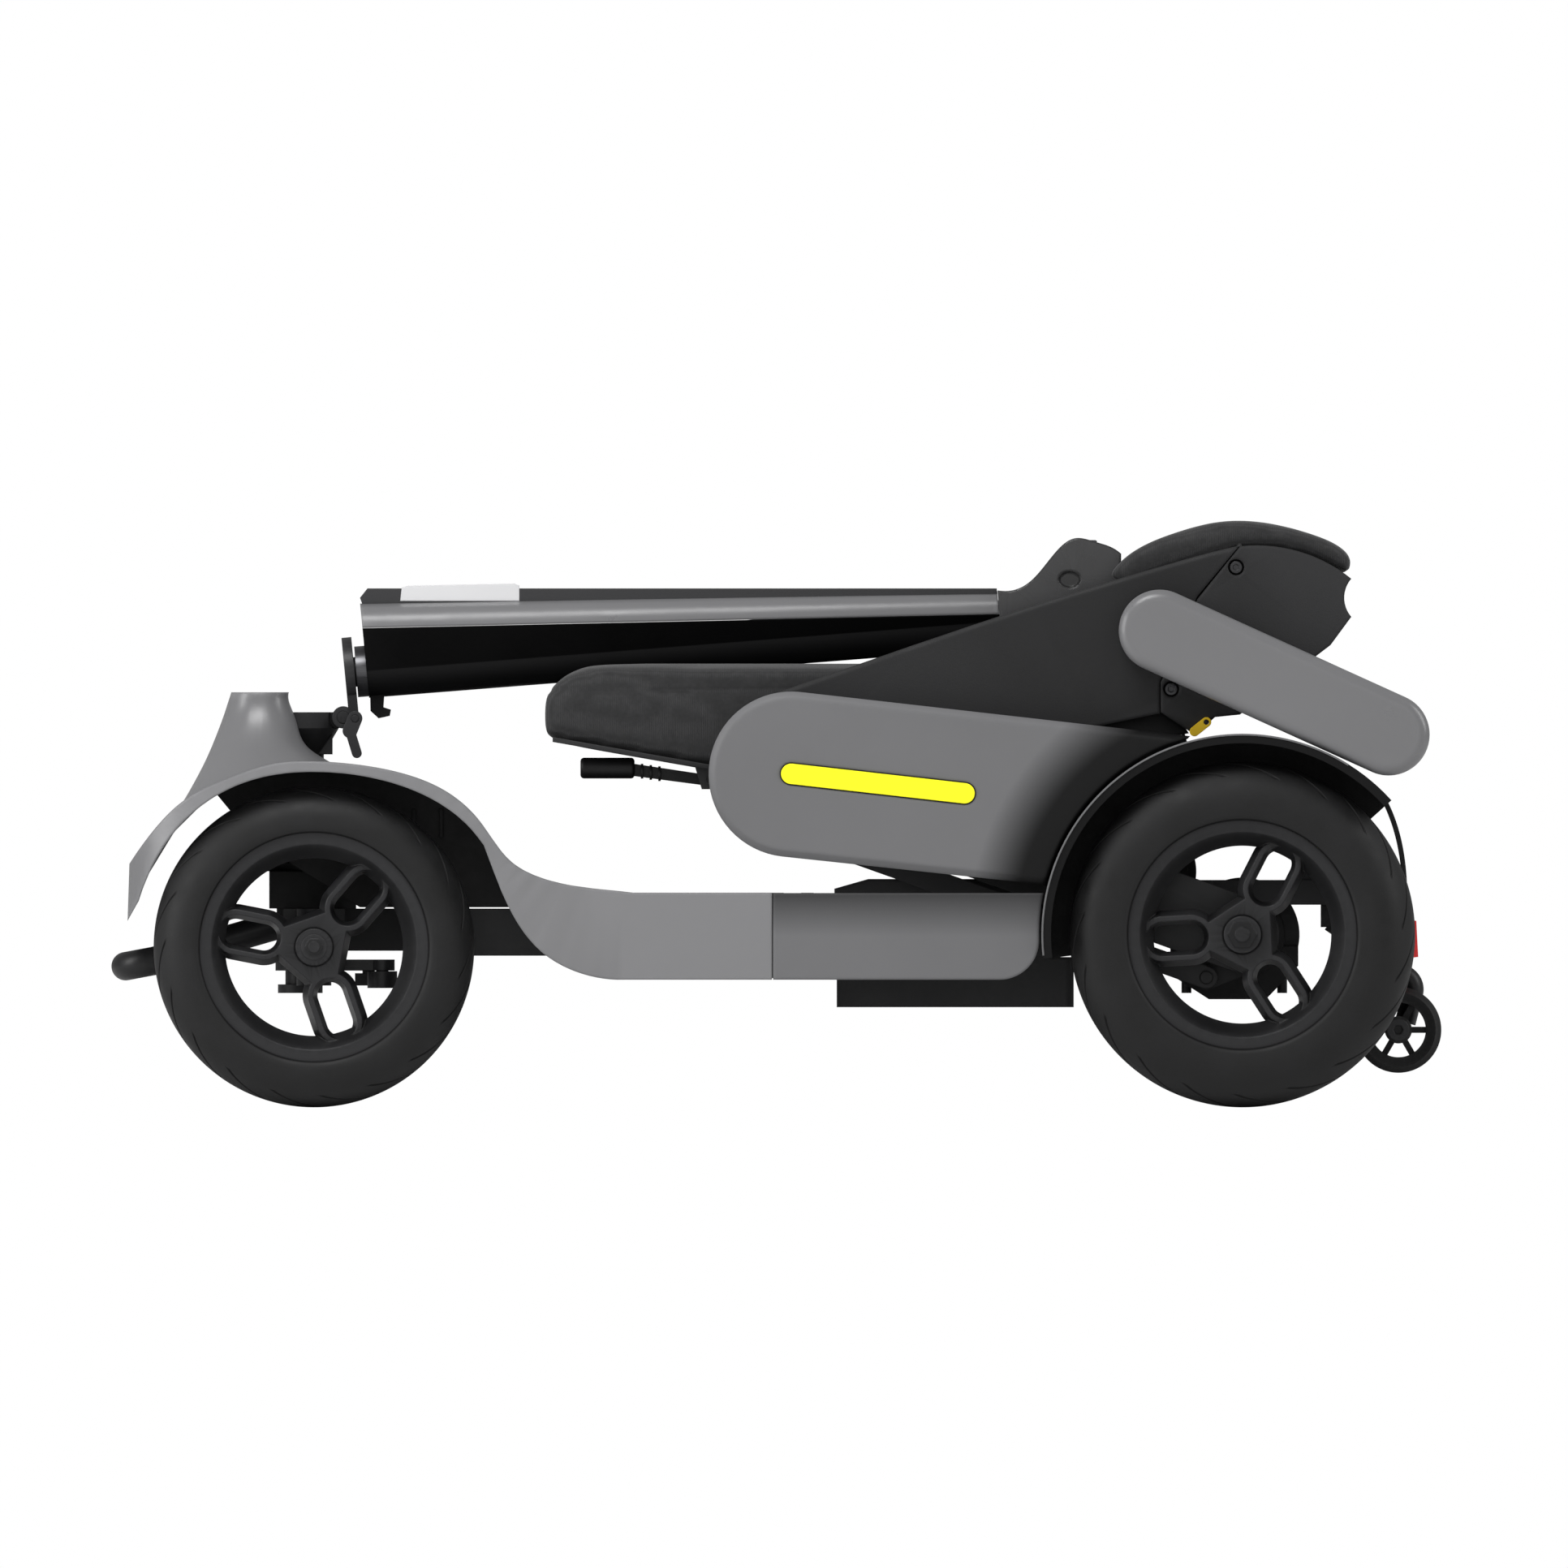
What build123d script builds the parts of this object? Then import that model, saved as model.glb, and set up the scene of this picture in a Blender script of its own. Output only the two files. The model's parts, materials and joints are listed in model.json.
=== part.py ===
from build123d import *
from math import cos, hypot, radians, sin
import os

os.makedirs("parts", exist_ok=True)

# Frame: +Z up with the ground at Z 0, front towards -X, the left side towards -Y. Millimetres.

# Wheels
FRONT_X, FRONT_Z, FRONT_R, FRONT_Y = -372.0, 129.0, 129.0, 226.0
REAR_X, REAR_Z, REAR_R, REAR_Y = 375.0, 139.0, 139.0, 240.0
RIM_R = 92.8
TYRE_SEAT_R = 93.0
SPOKE_R = 52.5
LOOP_LEN, LOOP_W = 59.0, 36.0
SLOT_LEN, SLOT_W = 51.0, 28.0
STAR_R = 46.0
STUB_R = 8.0
SHAFT_R = 10.0
TIP_X, TIP_Z, TIP_R, TIP_Y, TIP_W = 500.5, 62.4, 34.6, 107.0, 24.0

# Steering
COLUMN_X = -383.0
KINGPIN_Y = 180.0
KINGPIN_R = 7.0
ARM_LEN = 55.0

# Tiller
HINGE_X, HINGE_Z = -348.4, 313.8
TUBE_X, TUBE_Z, TUBE_TILT = -330.7, 351.0, 4.5
FACE_TILT = 5.5
TUBE_R = 17.0
COLLAR_R = 20.5

# Seat lift and back
PIVOT_X, PIVOT_Z, PIVOT_R = 12.1, 268.0, 12.0
ARCH_R = 163.5
AXLE_TUBE_R = 22.0
ROD_DX, ROD_DZ = -29.0, -34.5
CAP_R = 66.6
WING_IN, WING_OUT = 206.0, 218.0
HEAD_CLEAR_R, HEAD_CLEAR_Y = 320.4, 76.0
COVER_IN, COVER_OUT = 222.0, 266.0
BODY_HALF_W = 262.0

# Fits
RUN = 0.05
GAP = 0.4


def mirrored(part):
    return part + mirror(part, about=Plane.XZ)


def flip(part):
    return mirror(part, about=Plane.XZ)


def slab(face, y0, y1, taper=0):
    """Side profile given in X and Z, extruded from y1 back to y0."""
    return extrude(Plane.XZ.offset(-y1) * face, amount=y1 - y0, taper=taper)


def poly(*points):
    return make_face(Polyline(*points, close=True))


def disc(x, z, r):
    return Pos(x, z) * Circle(r)


def rod(x, z, y0, y1, r):
    return Pos(x, (y0 + y1) / 2, z) * Rot(90, 0, 0) * Cylinder(r, y1 - y0)


def post(x, y, z0, z1, r):
    return Pos(x, y, (z0 + z1) / 2) * Cylinder(r, z1 - z0)


def block(x0, x1, y0, y1, z0, z1):
    return Pos((x0 + x1) / 2, (y0 + y1) / 2, (z0 + z1) / 2) * Box(x1 - x0, y1 - y0, z1 - z0)


def stadium(xa, za, xb, zb, r):
    length = hypot(xb - xa, zb - za)
    tilt = Vector(xb - xa, zb - za, 0).get_signed_angle(Vector(1, 0, 0), Vector(0, 0, -1))
    return Pos((xa + xb) / 2, (za + zb) / 2) * Rot(0, 0, tilt) * SlotCenterToCenter(length, 2 * r)


def hexagon(x, z, y0, y1, across_flats):
    return slab(Pos(x, z) * RegularPolygon(across_flats / 2, 6, major_radius=False), y0, y1)


def lathe(face, x, y, z):
    return Pos(x, y, z) * revolve(face, Axis.Y)


def pipe(points, r, bend):
    path = FilletPolyline(*points, radius=bend)
    return sweep((path ^ 0) * Circle(r), path=path)


def save(name, shape):
    export_step(shape, f"parts/{name}.step")
    print(name, round(shape.volume / 1000, 1), flush=True)


# ---------------------------------------------------------------- wheels

def tyre(x, y, z, outer_r, half_w):
    ring_r = outer_r - half_w
    seat = half_w * 0.82
    outline = Polyline((ring_r, half_w), (TYRE_SEAT_R, seat), (TYRE_SEAT_R, -seat), (ring_r, -half_w))
    crown = ThreePointArc((ring_r, -half_w), (outer_r, 0), (ring_r, half_w))
    return lathe(make_face([outline, crown]), x, y, z)


def rim(x, y, z, hub_in, hub_out, bore_r, turn):
    """A dished barrel with three looped spokes on its outboard side (+Y) and a long hub."""
    barrel = lathe(
        poly((RIM_R, -24), (RIM_R, 24), (82.8, 24), (71.5, 10), (71.5, -12), (84, -24)), x, y, z
    )
    star = RegularPolygon(STAR_R, 3, rotation=turn)
    slots = Sketch()
    for k in range(3):
        spoke = Rot(0, 0, turn + 120 * k) * Pos(SPOKE_R, 0)
        star += spoke * SlotOverall(LOOP_LEN, LOOP_W)
        slots += spoke * SlotOverall(SLOT_LEN, SLOT_W)
    spokes = slab(Pos(x, z) * star, y + 3, y + 17, -18)
    spokes -= slab(Pos(x, z) * slots, y + 3, y + 17, 14)
    hub = rod(x, z, hub_in, y + 17, 19) + rod(x, z, y + 16, hub_out, 15)
    hub_ring = rod(x, z, y + 15.5, y + 18, 15.9) - rod(x, z, y + 15, y + 19, 15)
    return barrel + spokes + hub - hub_ring - rod(x, z, hub_in - 1, hub_out + 1, bore_r)


def make_wheels():
    front_rim = rim(FRONT_X, FRONT_Y, FRONT_Z, 206, 244, STUB_R + RUN, 49)
    front_tyre = tyre(FRONT_X, FRONT_Y, FRONT_Z, FRONT_R, 30)
    rear_rim = rim(REAR_X, REAR_Y, REAR_Z, 207, 258, SHAFT_R, 63)
    rear_tyre = tyre(REAR_X, REAR_Y, REAR_Z, REAR_R, 33)
    shaft = rod(REAR_X, REAR_Z, 62, 259, SHAFT_R)
    shaft += rod(REAR_X, REAR_Z, 258, 260, 15)
    shaft += hexagon(REAR_X, REAR_Z, 260, 267, 21)
    shaft += rod(REAR_X, REAR_Z, 267, 269, 6)
    tip = lathe(
        poly((22, -9), (30, -11), (TIP_R, -5), (TIP_R, 5), (30, 11), (22, 9)), TIP_X, TIP_Y, TIP_Z
    )
    tip += rod(TIP_X, TIP_Z, TIP_Y - 12, TIP_Y + 12, 11)
    for k in range(6):
        tip += Pos(TIP_X, TIP_Y, TIP_Z) * Rot(0, 60 * k, 0) * Pos(16, 0, 0) * Box(16, 10, 5)
    tip -= rod(TIP_X, TIP_Z, TIP_Y - 13, TIP_Y + 13, 5 + RUN)
    for name, part in (
        ("front_rim", front_rim),
        ("front_tyre", front_tyre),
        ("rear_rim", rear_rim),
        ("rear_tyre", rear_tyre),
        ("rear_half_shaft", shaft),
        ("anti_tip_wheel", tip),
    ):
        save(name + "_R", part)
        save(name + "_L", flip(part))


# ---------------------------------------------------------------- chassis

def main_frame():
    rail = poly(
        (-250, 122), (222, 122), (262, 163), (452, 163), (452, 183), (248, 183), (222, 160), (-250, 160)
    )
    frame = mirrored(slab(rail, 110, 135))
    frame += block(-250, -228, -135, 135, 122, 160)
    frame += block(-160, -140, -225, 225, 140, 160)
    frame += block(-30, -10, -225, 225, 140, 160)
    frame += mirrored(block(184, 204, 130, 250, 124, 138))
    frame += block(432, 452, -135, 135, 163, 183)
    frame += mirrored(block(422, 440, 112, 132, 180, 280))
    frame += mirrored(block(362, 388, 110, 135, 150, 166))
    frame -= mirrored(rod(REAR_X, REAR_Z, 100, 140, AXLE_TUBE_R + 0.02))
    return frame


def front_axle_beam():
    """Central spine, cross beam and the eyes that hold both kingpins."""
    beam = block(-402, -250, -40, 40, 126, 160)
    beam += block(-397, -347, -156, 156, 138, 160)
    lug_face = Pos(FRONT_X, KINGPIN_Y) * Circle(14) + Pos(FRONT_X, 165) * Rectangle(28, 30)
    lug = extrude(lug_face, amount=8)
    beam += mirrored(Pos(0, 0, 152) * lug)
    beam += mirrored(Pos(0, 0, 98) * lug)
    beam += mirrored(block(-386, -358, 150, 160, 98, 160))
    beam += mirrored(post(FRONT_X, KINGPIN_Y, 100, 158, KINGPIN_R))
    return beam - post(COLUMN_X, 0, 100, 170, 16.02)


def deck():
    plate = block(-187, 45.5, -226, 226, 163, 168)
    plate = fillet(plate.edges().filter_by(Axis.Z), 8)
    supports = block(-158, -142, -220, 220, 160, 163) + block(-28, -12, -220, 220, 160, 163)
    return plate + supports


def deck_mat():
    mat = block(-183, 42, -222, 222, 168, 171)
    mat = fillet(mat.edges().filter_by(Axis.Z), 8)
    for k in range(9):
        mat += block(-172 + 24 * k, -162 + 24 * k, -205, 205, 171, 172.7)
    return mat


def cowl_underside():
    return Spline(
        (-115, 167.8), (-150, 171), (-187, 177.5), (-217, 190), (-243, 221), (-270, 244),
        (-320, 264), (-372, 270), (-409.8, 266.5), (-443.9, 254.5), (-476, 231), (-504.8, 188), (-513, 166),
    )


def cowl_band():
    """Thin wheel-arch band from the front tip over the wheel and down into the deck line."""
    top = Spline(
        (-520.5, 196), (-500.5, 223.7), (-476, 247.5), (-438, 266), (-405, 276.5), (-372, 278.5),
        (-338, 276), (-305, 270), (-265, 254), (-239, 231), (-213, 197.5), (-187, 184), (-150, 176.5),
        (-115, 172.8),
    )
    lines = [
        Line((-522, 150), (-520.5, 196)),
        top,
        Line((-115, 172.8), (-3.4, 172.8)),
        Line((-3.4, 172.8), (-3.4, 167.8)),
        Line((-3.4, 167.8), (-115, 167.8)),
        cowl_underside(),
        Line((-513, 166), (-522, 150)),
    ]
    return make_face(lines)


def skirt_front():
    lip = Spline((-239, 220), (-229, 194), (-211, 153), (-187, 123.5), (-167, 111.5), (-122, 102.7))
    top = Spline((-115, 172.5), (-150, 176), (-187, 183.5), (-213, 197), (-238.5, 230))
    lines = [
        lip,
        Line((-122, 102.7), (-3.4, 102.7)),
        Line((-3.4, 102.7), (-3.4, 172.5)),
        Line((-3.4, 172.5), (-115, 172.5)),
        top,
        Line((-238.5, 230), (-239, 220)),
    ]
    return make_face(lines)


def front_body():
    """Cowl, fenders, front skirts and the neck that hugs the steering head from the front."""
    body = slab(cowl_band(), -BODY_HALF_W, BODY_HALF_W)
    body -= block(-187, 10, -228, 228, 150, 200)
    body -= block(-186.9, -150, -228, 228, 160, 182)
    plan = Spline((-522.5, 130), (-524, 175), (-516, 222), (-470, 255), (-400, 262.5))
    corner = make_face(
        [plan, Polyline((-400, 262.5), (-540, 262.5), (-540, 130), (-522.5, 130))]
    )
    body -= mirrored(extrude(corner, amount=400))
    body += mirrored(slab(skirt_front(), 256, BODY_HALF_W))
    sections = (
        (243, -480, -340, 124),
        (262, -468, -348, 108),
        (279, -459.2, -361, 90),
        (288, -455.2, -375, 78),
        (300, -450.3, -383.2, 66),
        (317, -444, -388.2, 55),
        (334, -438.5, -392, 50),
    )
    outer = []
    inner = []
    for z, x0, x1, half in sections:
        cx, depth = (x0 + x1) / 2, x1 - x0
        outer.append(Pos(cx, 0, z) * RectangleRounded(depth, 2 * half, 0.46 * depth))
        inner.append(Pos(cx, 0, z) * RectangleRounded(depth - 10, 2 * half - 10, 0.46 * (depth - 10)))
    below = Polyline((-513, 166), (-513, 90), (-115, 90), (-115, 167.8))
    arch_space = make_face([cowl_underside(), below])
    neck = loft(outer) - loft(inner) - slab(arch_space, -130, 130)
    neck += slab(poly((-438, 262), (-340, 270), (-340, 274), (-438, 270)), -60, 60)
    body += neck
    body -= post(COLUMN_X, 0, 150, 345, 33)
    body -= block(COLUMN_X, COLUMN_X + 60, -33, 33, 279.5, 345)
    return body


def front_liners():
    """Inner wheel-arch walls with vertical ribs, one each side of the steering gear."""
    top = Spline(
        (-452, 254), (-409.8, 270.5), (-372, 274), (-320, 268), (-267, 247), (-238, 221), (-212, 190)
    )
    edge = Polyline((-212, 190), (-195, 181), (-195, 161), (-335, 161), (-420, 215), (-452, 254))
    wall = make_face([top, edge])
    liner = slab(wall, 129, 133) - slab(cowl_band(), 120, 140)
    for k in range(8):
        x = -425 + 22 * k
        liner += block(x, x + 3, 133, 136, 217, 240)
    return mirrored(liner)


def skirts_rear():
    """Side walls and top strips from the seam to the rear wheel arch."""
    wall = Pos(108.5, 137.6) * Rectangle(222.2, 69.8)
    wall -= disc(REAR_X, REAR_Z, ARCH_R)
    wall = fillet(wall.vertices().group_by(Axis.Y)[0].sort_by(Axis.X)[-1], 32)
    strip = Pos(104, 170.15) * Rectangle(213, 4.7)
    skirt = slab(wall, 256, BODY_HALF_W)
    skirt += slab(strip, 228, 258)
    skirt += block(183, 205, 250.2, 256.5, 118, 144)
    skirt += block(-9, 3, 252.5, 255.7, 104, 167.4) + block(-2.6, 3, 255, 257, 104, 167.4)
    return mirrored(skirt)


def bumper():
    path = [
        (-402, -107, 146.5), (-500, -124, 118), (-523.5, -124, 113.6),
        (-523.5, 124, 113.6), (-500, 124, 118), (-402, 107, 146.5),
    ]
    return pipe(path, 11.5, 16)


def battery_case():
    case = block(48.6, 239.3, -104, 104, 80.6, 121)
    case = fillet(case.edges().filter_by(Axis.Z), 6)
    case += block(50, 220, -104, 104, 120, 164)
    lid = poly((46.7, 163), (218, 163), (218, 183.8), (74, 183.8), (46.7, 176))
    return case + slab(lid, -150, 150)


def transaxle():
    body = rod(REAR_X, REAR_Z, -60, 60, 46)
    body += slab(poly((317, 107), (348, 87), (394, 87), (420, 114), (420, 130), (317, 130)), -66, 66)
    body += rod(REAR_X, REAR_Z, -203.5, 203.5, AXLE_TUBE_R)
    body += mirrored(rod(REAR_X, REAR_Z, 60, 70, 34))
    body += mirrored(slab(stadium(REAR_X, 116, REAR_X + ROD_DX, REAR_Z + ROD_DZ, 10), 150, 160))
    body += mirrored(rod(REAR_X, REAR_Z, 146, 160, 28))
    body += mirrored(rod(REAR_X + ROD_DX, REAR_Z + ROD_DZ, 159, 180, 5))
    for x in (330, 407):
        body += mirrored(post(x, 56, 92, 112, 4))
    body -= rod(REAR_X, REAR_Z, -210, 210, SHAFT_R + RUN)
    body -= rod(REAR_X, REAR_Z, -61, 61, 24)
    return body


def motor():
    body = rod(300, 190, -102, -20, 38)
    body += rod(300, 190, -106, -101, 31)
    body += slab(stadium(296, 188, 316, 188, 9), -108, -105.5)
    body -= rod(310, 188, -109, -104, 4)
    body += block(310, 345, -58, -24, 150, 178)
    body -= rod(REAR_X, REAR_Z, -120, 10, 46.2)
    return body


def arch(r0, r1, a0, a1):
    """Ring sector about the rear axle between two angles."""
    ring = Circle(r1) - Circle(r0)
    far = 2 * r1
    mid = radians((a0 + a1) / 2)
    wedge = poly(
        (0, 0),
        (far * cos(radians(a0)), far * sin(radians(a0))),
        (far * cos(mid), far * sin(mid)),
        (far * cos(radians(a1)), far * sin(radians(a1))),
    )
    return Pos(REAR_X, REAR_Z) * (ring & wedge)


def rear_fenders():
    shell = slab(arch(157.5, 161.5, 42, 187), 203, 274)
    shell += slab(arch(132, 158, 42, 187), 203, 204.6)
    shell += slab(arch(157.5, 168, 106, 166), 203, 205.2)
    lip = slab(arch(154, 161.5, 42, 187), 271.5, 274)
    return mirrored(shell + lip)


def rear_cover():
    """Tail hood between the fenders with a panel that drops behind the transaxle."""
    hood = slab(arch(157.5, 161.5, 42, 98), -202.6, 202.6)
    tail = make_face(
        [
            Spline((492.3, 245.5), (503, 215), (507.5, 180), (506, 120)),
            Line((506, 120), (502, 120)),
            Spline((502, 120), (503.5, 180), (499, 214), (489, 243)),
            Line((489, 243), (492.3, 245.5)),
        ]
    )
    return hood + slab(tail, -150, 150)


def rear_lamps():
    lamp = slab(poly((507, 120), (516.5, 121), (515, 150), (508.6, 152)), 62, 122)
    return mirrored(lamp)


def anti_tip_arms():
    """Bent tubes from the rear cross member down to forks that hold the small wheels."""
    y0 = TIP_Y - 22
    arm = pipe([(446, y0, 150), (475, y0, 130), (514, y0, 99.5), (506, y0, 68)], 8.5, 12)
    arm += block(438, 452, y0 - 9, y0 + 9, 145, 163)
    arm += rod(TIP_X, TIP_Z, y0 - 10, TIP_Y - 12.4, 11)
    arm += rod(TIP_X, TIP_Z, TIP_Y - 13, TIP_Y + 12.6, 5)
    arm += rod(TIP_X, TIP_Z, TIP_Y + 12.4, TIP_Y + 17, 9)
    arm -= hexagon(TIP_X, TIP_Z, TIP_Y + 14, TIP_Y + 18, 7)
    return mirrored(arm)


def steering_head():
    """Head tube, ribbed cap and the fixed yoke with its hinge ears and pin."""
    head = post(COLUMN_X, 0, 160, 290, 19)
    head += block(-408, -338, -45, 45, 160, 190)
    head += post(COLUMN_X, 0, 190, 197, 36)
    for k in range(12):
        head += Pos(COLUMN_X, 0, 203) * Rot(0, 0, 30 * k) * Pos(28, 0, 0) * Box(16, 3, 13)
    head += post(COLUMN_X, 0, 197, 208, 24)
    head += Pos(COLUMN_X, 0, 294) * Cone(18, 31, 22)
    head += post(COLUMN_X, 0, 305, 318, 31)
    head += block(-385, -357, -12, 12, 284, 308)
    head += slab(stadium(-372, 309, HINGE_X, HINGE_Z, 7.8), -13.6, 13.6)
    head -= block(-380, -352, -14, 14, 318, 326)
    head -= mirrored(rod(HINGE_X, HINGE_Z, 13.6, 40, 11.2))
    head += rod(HINGE_X, HINGE_Z, -22.4, 22.4, 5)
    head -= post(COLUMN_X, 0, 150, 300, 12 + RUN)
    head -= post(COLUMN_X, 0, 155, 165, 16.1)
    return head


def steering_column():
    column = post(COLUMN_X, 0, 92, 298, 12)
    column += post(COLUMN_X, 0, 92, 99, 18)
    arm = Pos(COLUMN_X, 0) * Circle(20) + Pos(COLUMN_X + ARM_LEN, 0) * Circle(10)
    arm += Pos(COLUMN_X + ARM_LEN / 2, 0) * Rectangle(ARM_LEN, 18)
    column += Pos(0, 0, 110) * extrude(arm, amount=9)
    column += post(COLUMN_X + ARM_LEN, 0, 98, 112, 5)
    return column


def knuckle():
    """Right-hand knuckle: block on the kingpin, stub axle with nut, and the steering arm."""
    body = post(FRONT_X, KINGPIN_Y, 106.3, 151.7, 13)
    body += rod(FRONT_X, FRONT_Z, 190, 204, 12)
    body += rod(FRONT_X, FRONT_Z, 185, 245, STUB_R)
    body += rod(FRONT_X, FRONT_Z, 244.4, 246, 10.4)
    body += hexagon(FRONT_X, FRONT_Z, 245.8, 251, 13)
    body += rod(FRONT_X, FRONT_Z, 250, 253.5, 4.6)
    arm = Pos(FRONT_X, KINGPIN_Y) * Circle(12) + Pos(FRONT_X + ARM_LEN, KINGPIN_Y) * Circle(10)
    arm += Pos(FRONT_X + ARM_LEN / 2, KINGPIN_Y) * Rectangle(ARM_LEN, 14)
    body += Pos(0, 0, 110) * extrude(arm, amount=9)
    body += post(FRONT_X + ARM_LEN, KINGPIN_Y, 98, 112, 5)
    body -= post(FRONT_X, KINGPIN_Y, 100, 160, KINGPIN_R + RUN)
    return body


def tie_rod():
    """Track rod in an exact parallelogram with both steering arms and the pitman arm."""
    end_x = FRONT_X + ARM_LEN
    bar = block(end_x - 7, end_x + 7, -KINGPIN_Y, KINGPIN_Y, 98, 108)
    bar += mirrored(post(end_x, KINGPIN_Y, 96, 109.6, 12))
    bar += block(COLUMN_X + ARM_LEN - 11, end_x, -11, 11, 98, 108)
    bar -= post(end_x, -KINGPIN_Y, 90, 115, 5 + RUN)
    bar -= post(end_x, KINGPIN_Y, 90, 115, 5 + GAP)
    bar -= post(COLUMN_X + ARM_LEN, 0, 90, 115, 5 + GAP)
    return bar


# ---------------------------------------------------------------- tiller

FOLD = Pos(HINGE_X, 0, HINGE_Z) * Rot(0, -FACE_TILT, 0)
TUBE = Pos(TUBE_X, 0, TUBE_Z) * Rot(0, -TUBE_TILT, 0)
TUBE_LEN = 545.0
STUB_LEN = 60.0
BAR_X, BAR_Z, BAR_R = 228.0, 395.0, 11.0


def along(x0, x1, r):
    """Cylinder on the tiller axis."""
    return TUBE * Pos((x0 + x1) / 2, 0, 0) * Rot(0, 90, 0) * Cylinder(r, x1 - x0)


def hinge_flange():
    """Plate that carries the tiller bearing stub, with two ears on the hinge pin."""
    flange = FOLD * Pos(8.6, 0, 35.3) * Rot(0, 90, 0) * Cylinder(28.5, 8)
    for side in (-1, 1):
        ear = rod(0, 0, min(14 * side, 22 * side), max(14 * side, 22 * side), 9)
        ear += block(4.8, 12.6, min(14 * side, 22 * side), max(14 * side, 22 * side), -5, 24)
        flange += FOLD * ear
    flange += along(-14, STUB_LEN, 12)
    flange += rod(-339, 313, -31, -20, 3)
    flange -= rod(HINGE_X, HINGE_Z, -40, 40, 5 + RUN)
    return flange


def fold_lever():
    lever = slab(stadium(-339, 313, -343, 303, 6) + stadium(-343, 303, -337.5, 285, 4), -30.5, -22.8)
    return lever - rod(-339, 313, -40, -20, 3 + RUN)


def tiller_tube():
    tube = along(-7.4, 14, COLLAR_R) + along(13, TUBE_LEN, TUBE_R)
    return tube - along(-10, STUB_LEN + 1, 12 + RUN)


def rear_section(x, half, edge):
    flank = Polyline((21.7, 0), (half, edge), (-half, edge), (-21.7, 0))
    belly = ThreePointArc((-21.7, 0), (0, -21.7), (21.7, 0))
    return Plane.YZ.offset(x) * make_face([flank, belly])


def front_section(x, half, edge, top):
    crown = Spline((half, edge), (half * 0.82, edge + 0.72 * (top - edge)), (0, top),
                   (-half * 0.82, edge + 0.72 * (top - edge)), (-half, edge))
    return Plane.YZ.offset(x) * make_face([crown, Line((-half, edge), (half, edge))])


def shroud_cut():
    return FOLD * block(-60, 22.2, -90, 90, -80, 160)


def insert_profile():
    return poly((-330, 396), (-335, 410), (-329, 417.6), (177.4, 417.6), (178, 408), (0, 404))


def headlight_profile():
    return poly(
        (-302.7, 407.5), (-301.5, 418.5), (-296, 419.8), (-211, 421.5), (-206.7, 420), (-206.7, 407.5)
    )


def shroud_rear():
    low, high = rear_section(-6, 40, 35), rear_section(512, 27, 5.4)
    body = TUBE * loft([low, high])
    hook = poly(
        (-327, 338), (-326.5, 319), (-320, 313), (-311, 315), (-310, 320), (-316, 322), (-315, 338)
    )
    body += slab(hook, -8, 8)
    body -= shroud_cut()
    body -= along(-12, 15, COLLAR_R + 0.2)
    return body - along(0, 530, TUBE_R)


def shroud_front():
    low, high = front_section(-8, 40, 35.3, 55), front_section(512, 27, 5.7, 24.3)
    body = TUBE * loft([low, high])
    body -= slab(insert_profile(), -17, 17)
    body -= shroud_cut()
    return body - along(300, 530, TUBE_R)


def shroud_insert():
    strip = slab(insert_profile(), -17, 17) - shroud_cut()
    return strip - slab(headlight_profile(), -18, 18) - along(300, 530, TUBE_R)


def control_head():
    """Glossy pod at the tiller's end: raised hump on top, oval recesses in both sides."""
    hump = Spline(
        (178, 416), (204, 423), (224, 446), (240.6, 458), (257, 455), (269.5, 450.8), (277.5, 445.5)
    )
    profile = make_face(
        [
            hump,
            Line((277.5, 445.5), (277.5, 434)),
            Spline((277.5, 434), (258, 398), (228, 378), (181.3, 376)),
            Line((181.3, 376), (178, 416)),
        ]
    )
    head = slab(profile, -55, 55)
    head = head - mirrored(slab(Pos(236, 424.8) * Ellipse(8.6, 6.4), 46, 60))
    head -= mirrored(post(252, 25, 446, 470, 6.5))
    head -= along(480, TUBE_LEN, TUBE_R)
    return head - rod(BAR_X, BAR_Z, -60, 60, BAR_R)


def head_controls():
    button = post(252, 25, 449, 456, 6)
    key = post(252, -25, 446.5, 454, 6) + block(247, 257, -26.5, -23.5, 453, 456.5)
    lever = rod(BAR_X, BAR_Z, 62, 74, 15) + block(196, 216, 62, 74, 374, 380)
    lever += slab(poly((196, 374), (216, 374), (230, 384), (226, 390), (212, 386), (196, 379)), 62, 74)
    lever -= rod(BAR_X, BAR_Z, 50, 80, BAR_R + RUN)
    return button, key, lever


def handlebar():
    return rod(BAR_X, BAR_Z, -171, 171, BAR_R)


def hand_grips():
    grip = rod(BAR_X, BAR_Z, 88, 173, 14.5)
    for k in range(7):
        y = 94 + 11 * k
        grip -= rod(BAR_X, BAR_Z, y, y + 3, 16) - rod(BAR_X, BAR_Z, y - 1, y + 4, 13.7)
    return mirrored(grip - rod(BAR_X, BAR_Z, 80, 171, BAR_R))


# ---------------------------------------------------------------- seat and back

LUG_X, LUG_Z = PIVOT_X + ROD_DX, PIVOT_Z + ROD_DZ
ROD_X, ROD_Z = REAR_X + ROD_DX, REAR_Z + ROD_DZ
REST_X, REST_Z, REST_R = 308.5, 383.6, 33.0
REST_END_X, REST_END_Z = 492.7, 300.0
CUSHION_HALF_W = 178.0


def lift_arms():
    plate = stadium(PIVOT_X, PIVOT_Z, REAR_X, REAR_Z, 30)
    arms = mirrored(slab(plate, 192, 202))
    arms += rod(150, 219, -192, 192, 12)
    arms += mirrored(rod(PIVOT_X, PIVOT_Z, 179, 221.8, PIVOT_R))
    arms += mirrored(block(150, 200, 201.5, 221.8, 196, 228))
    return arms - rod(REAR_X, REAR_Z, -230, 230, AXLE_TUBE_R + RUN)


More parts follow.
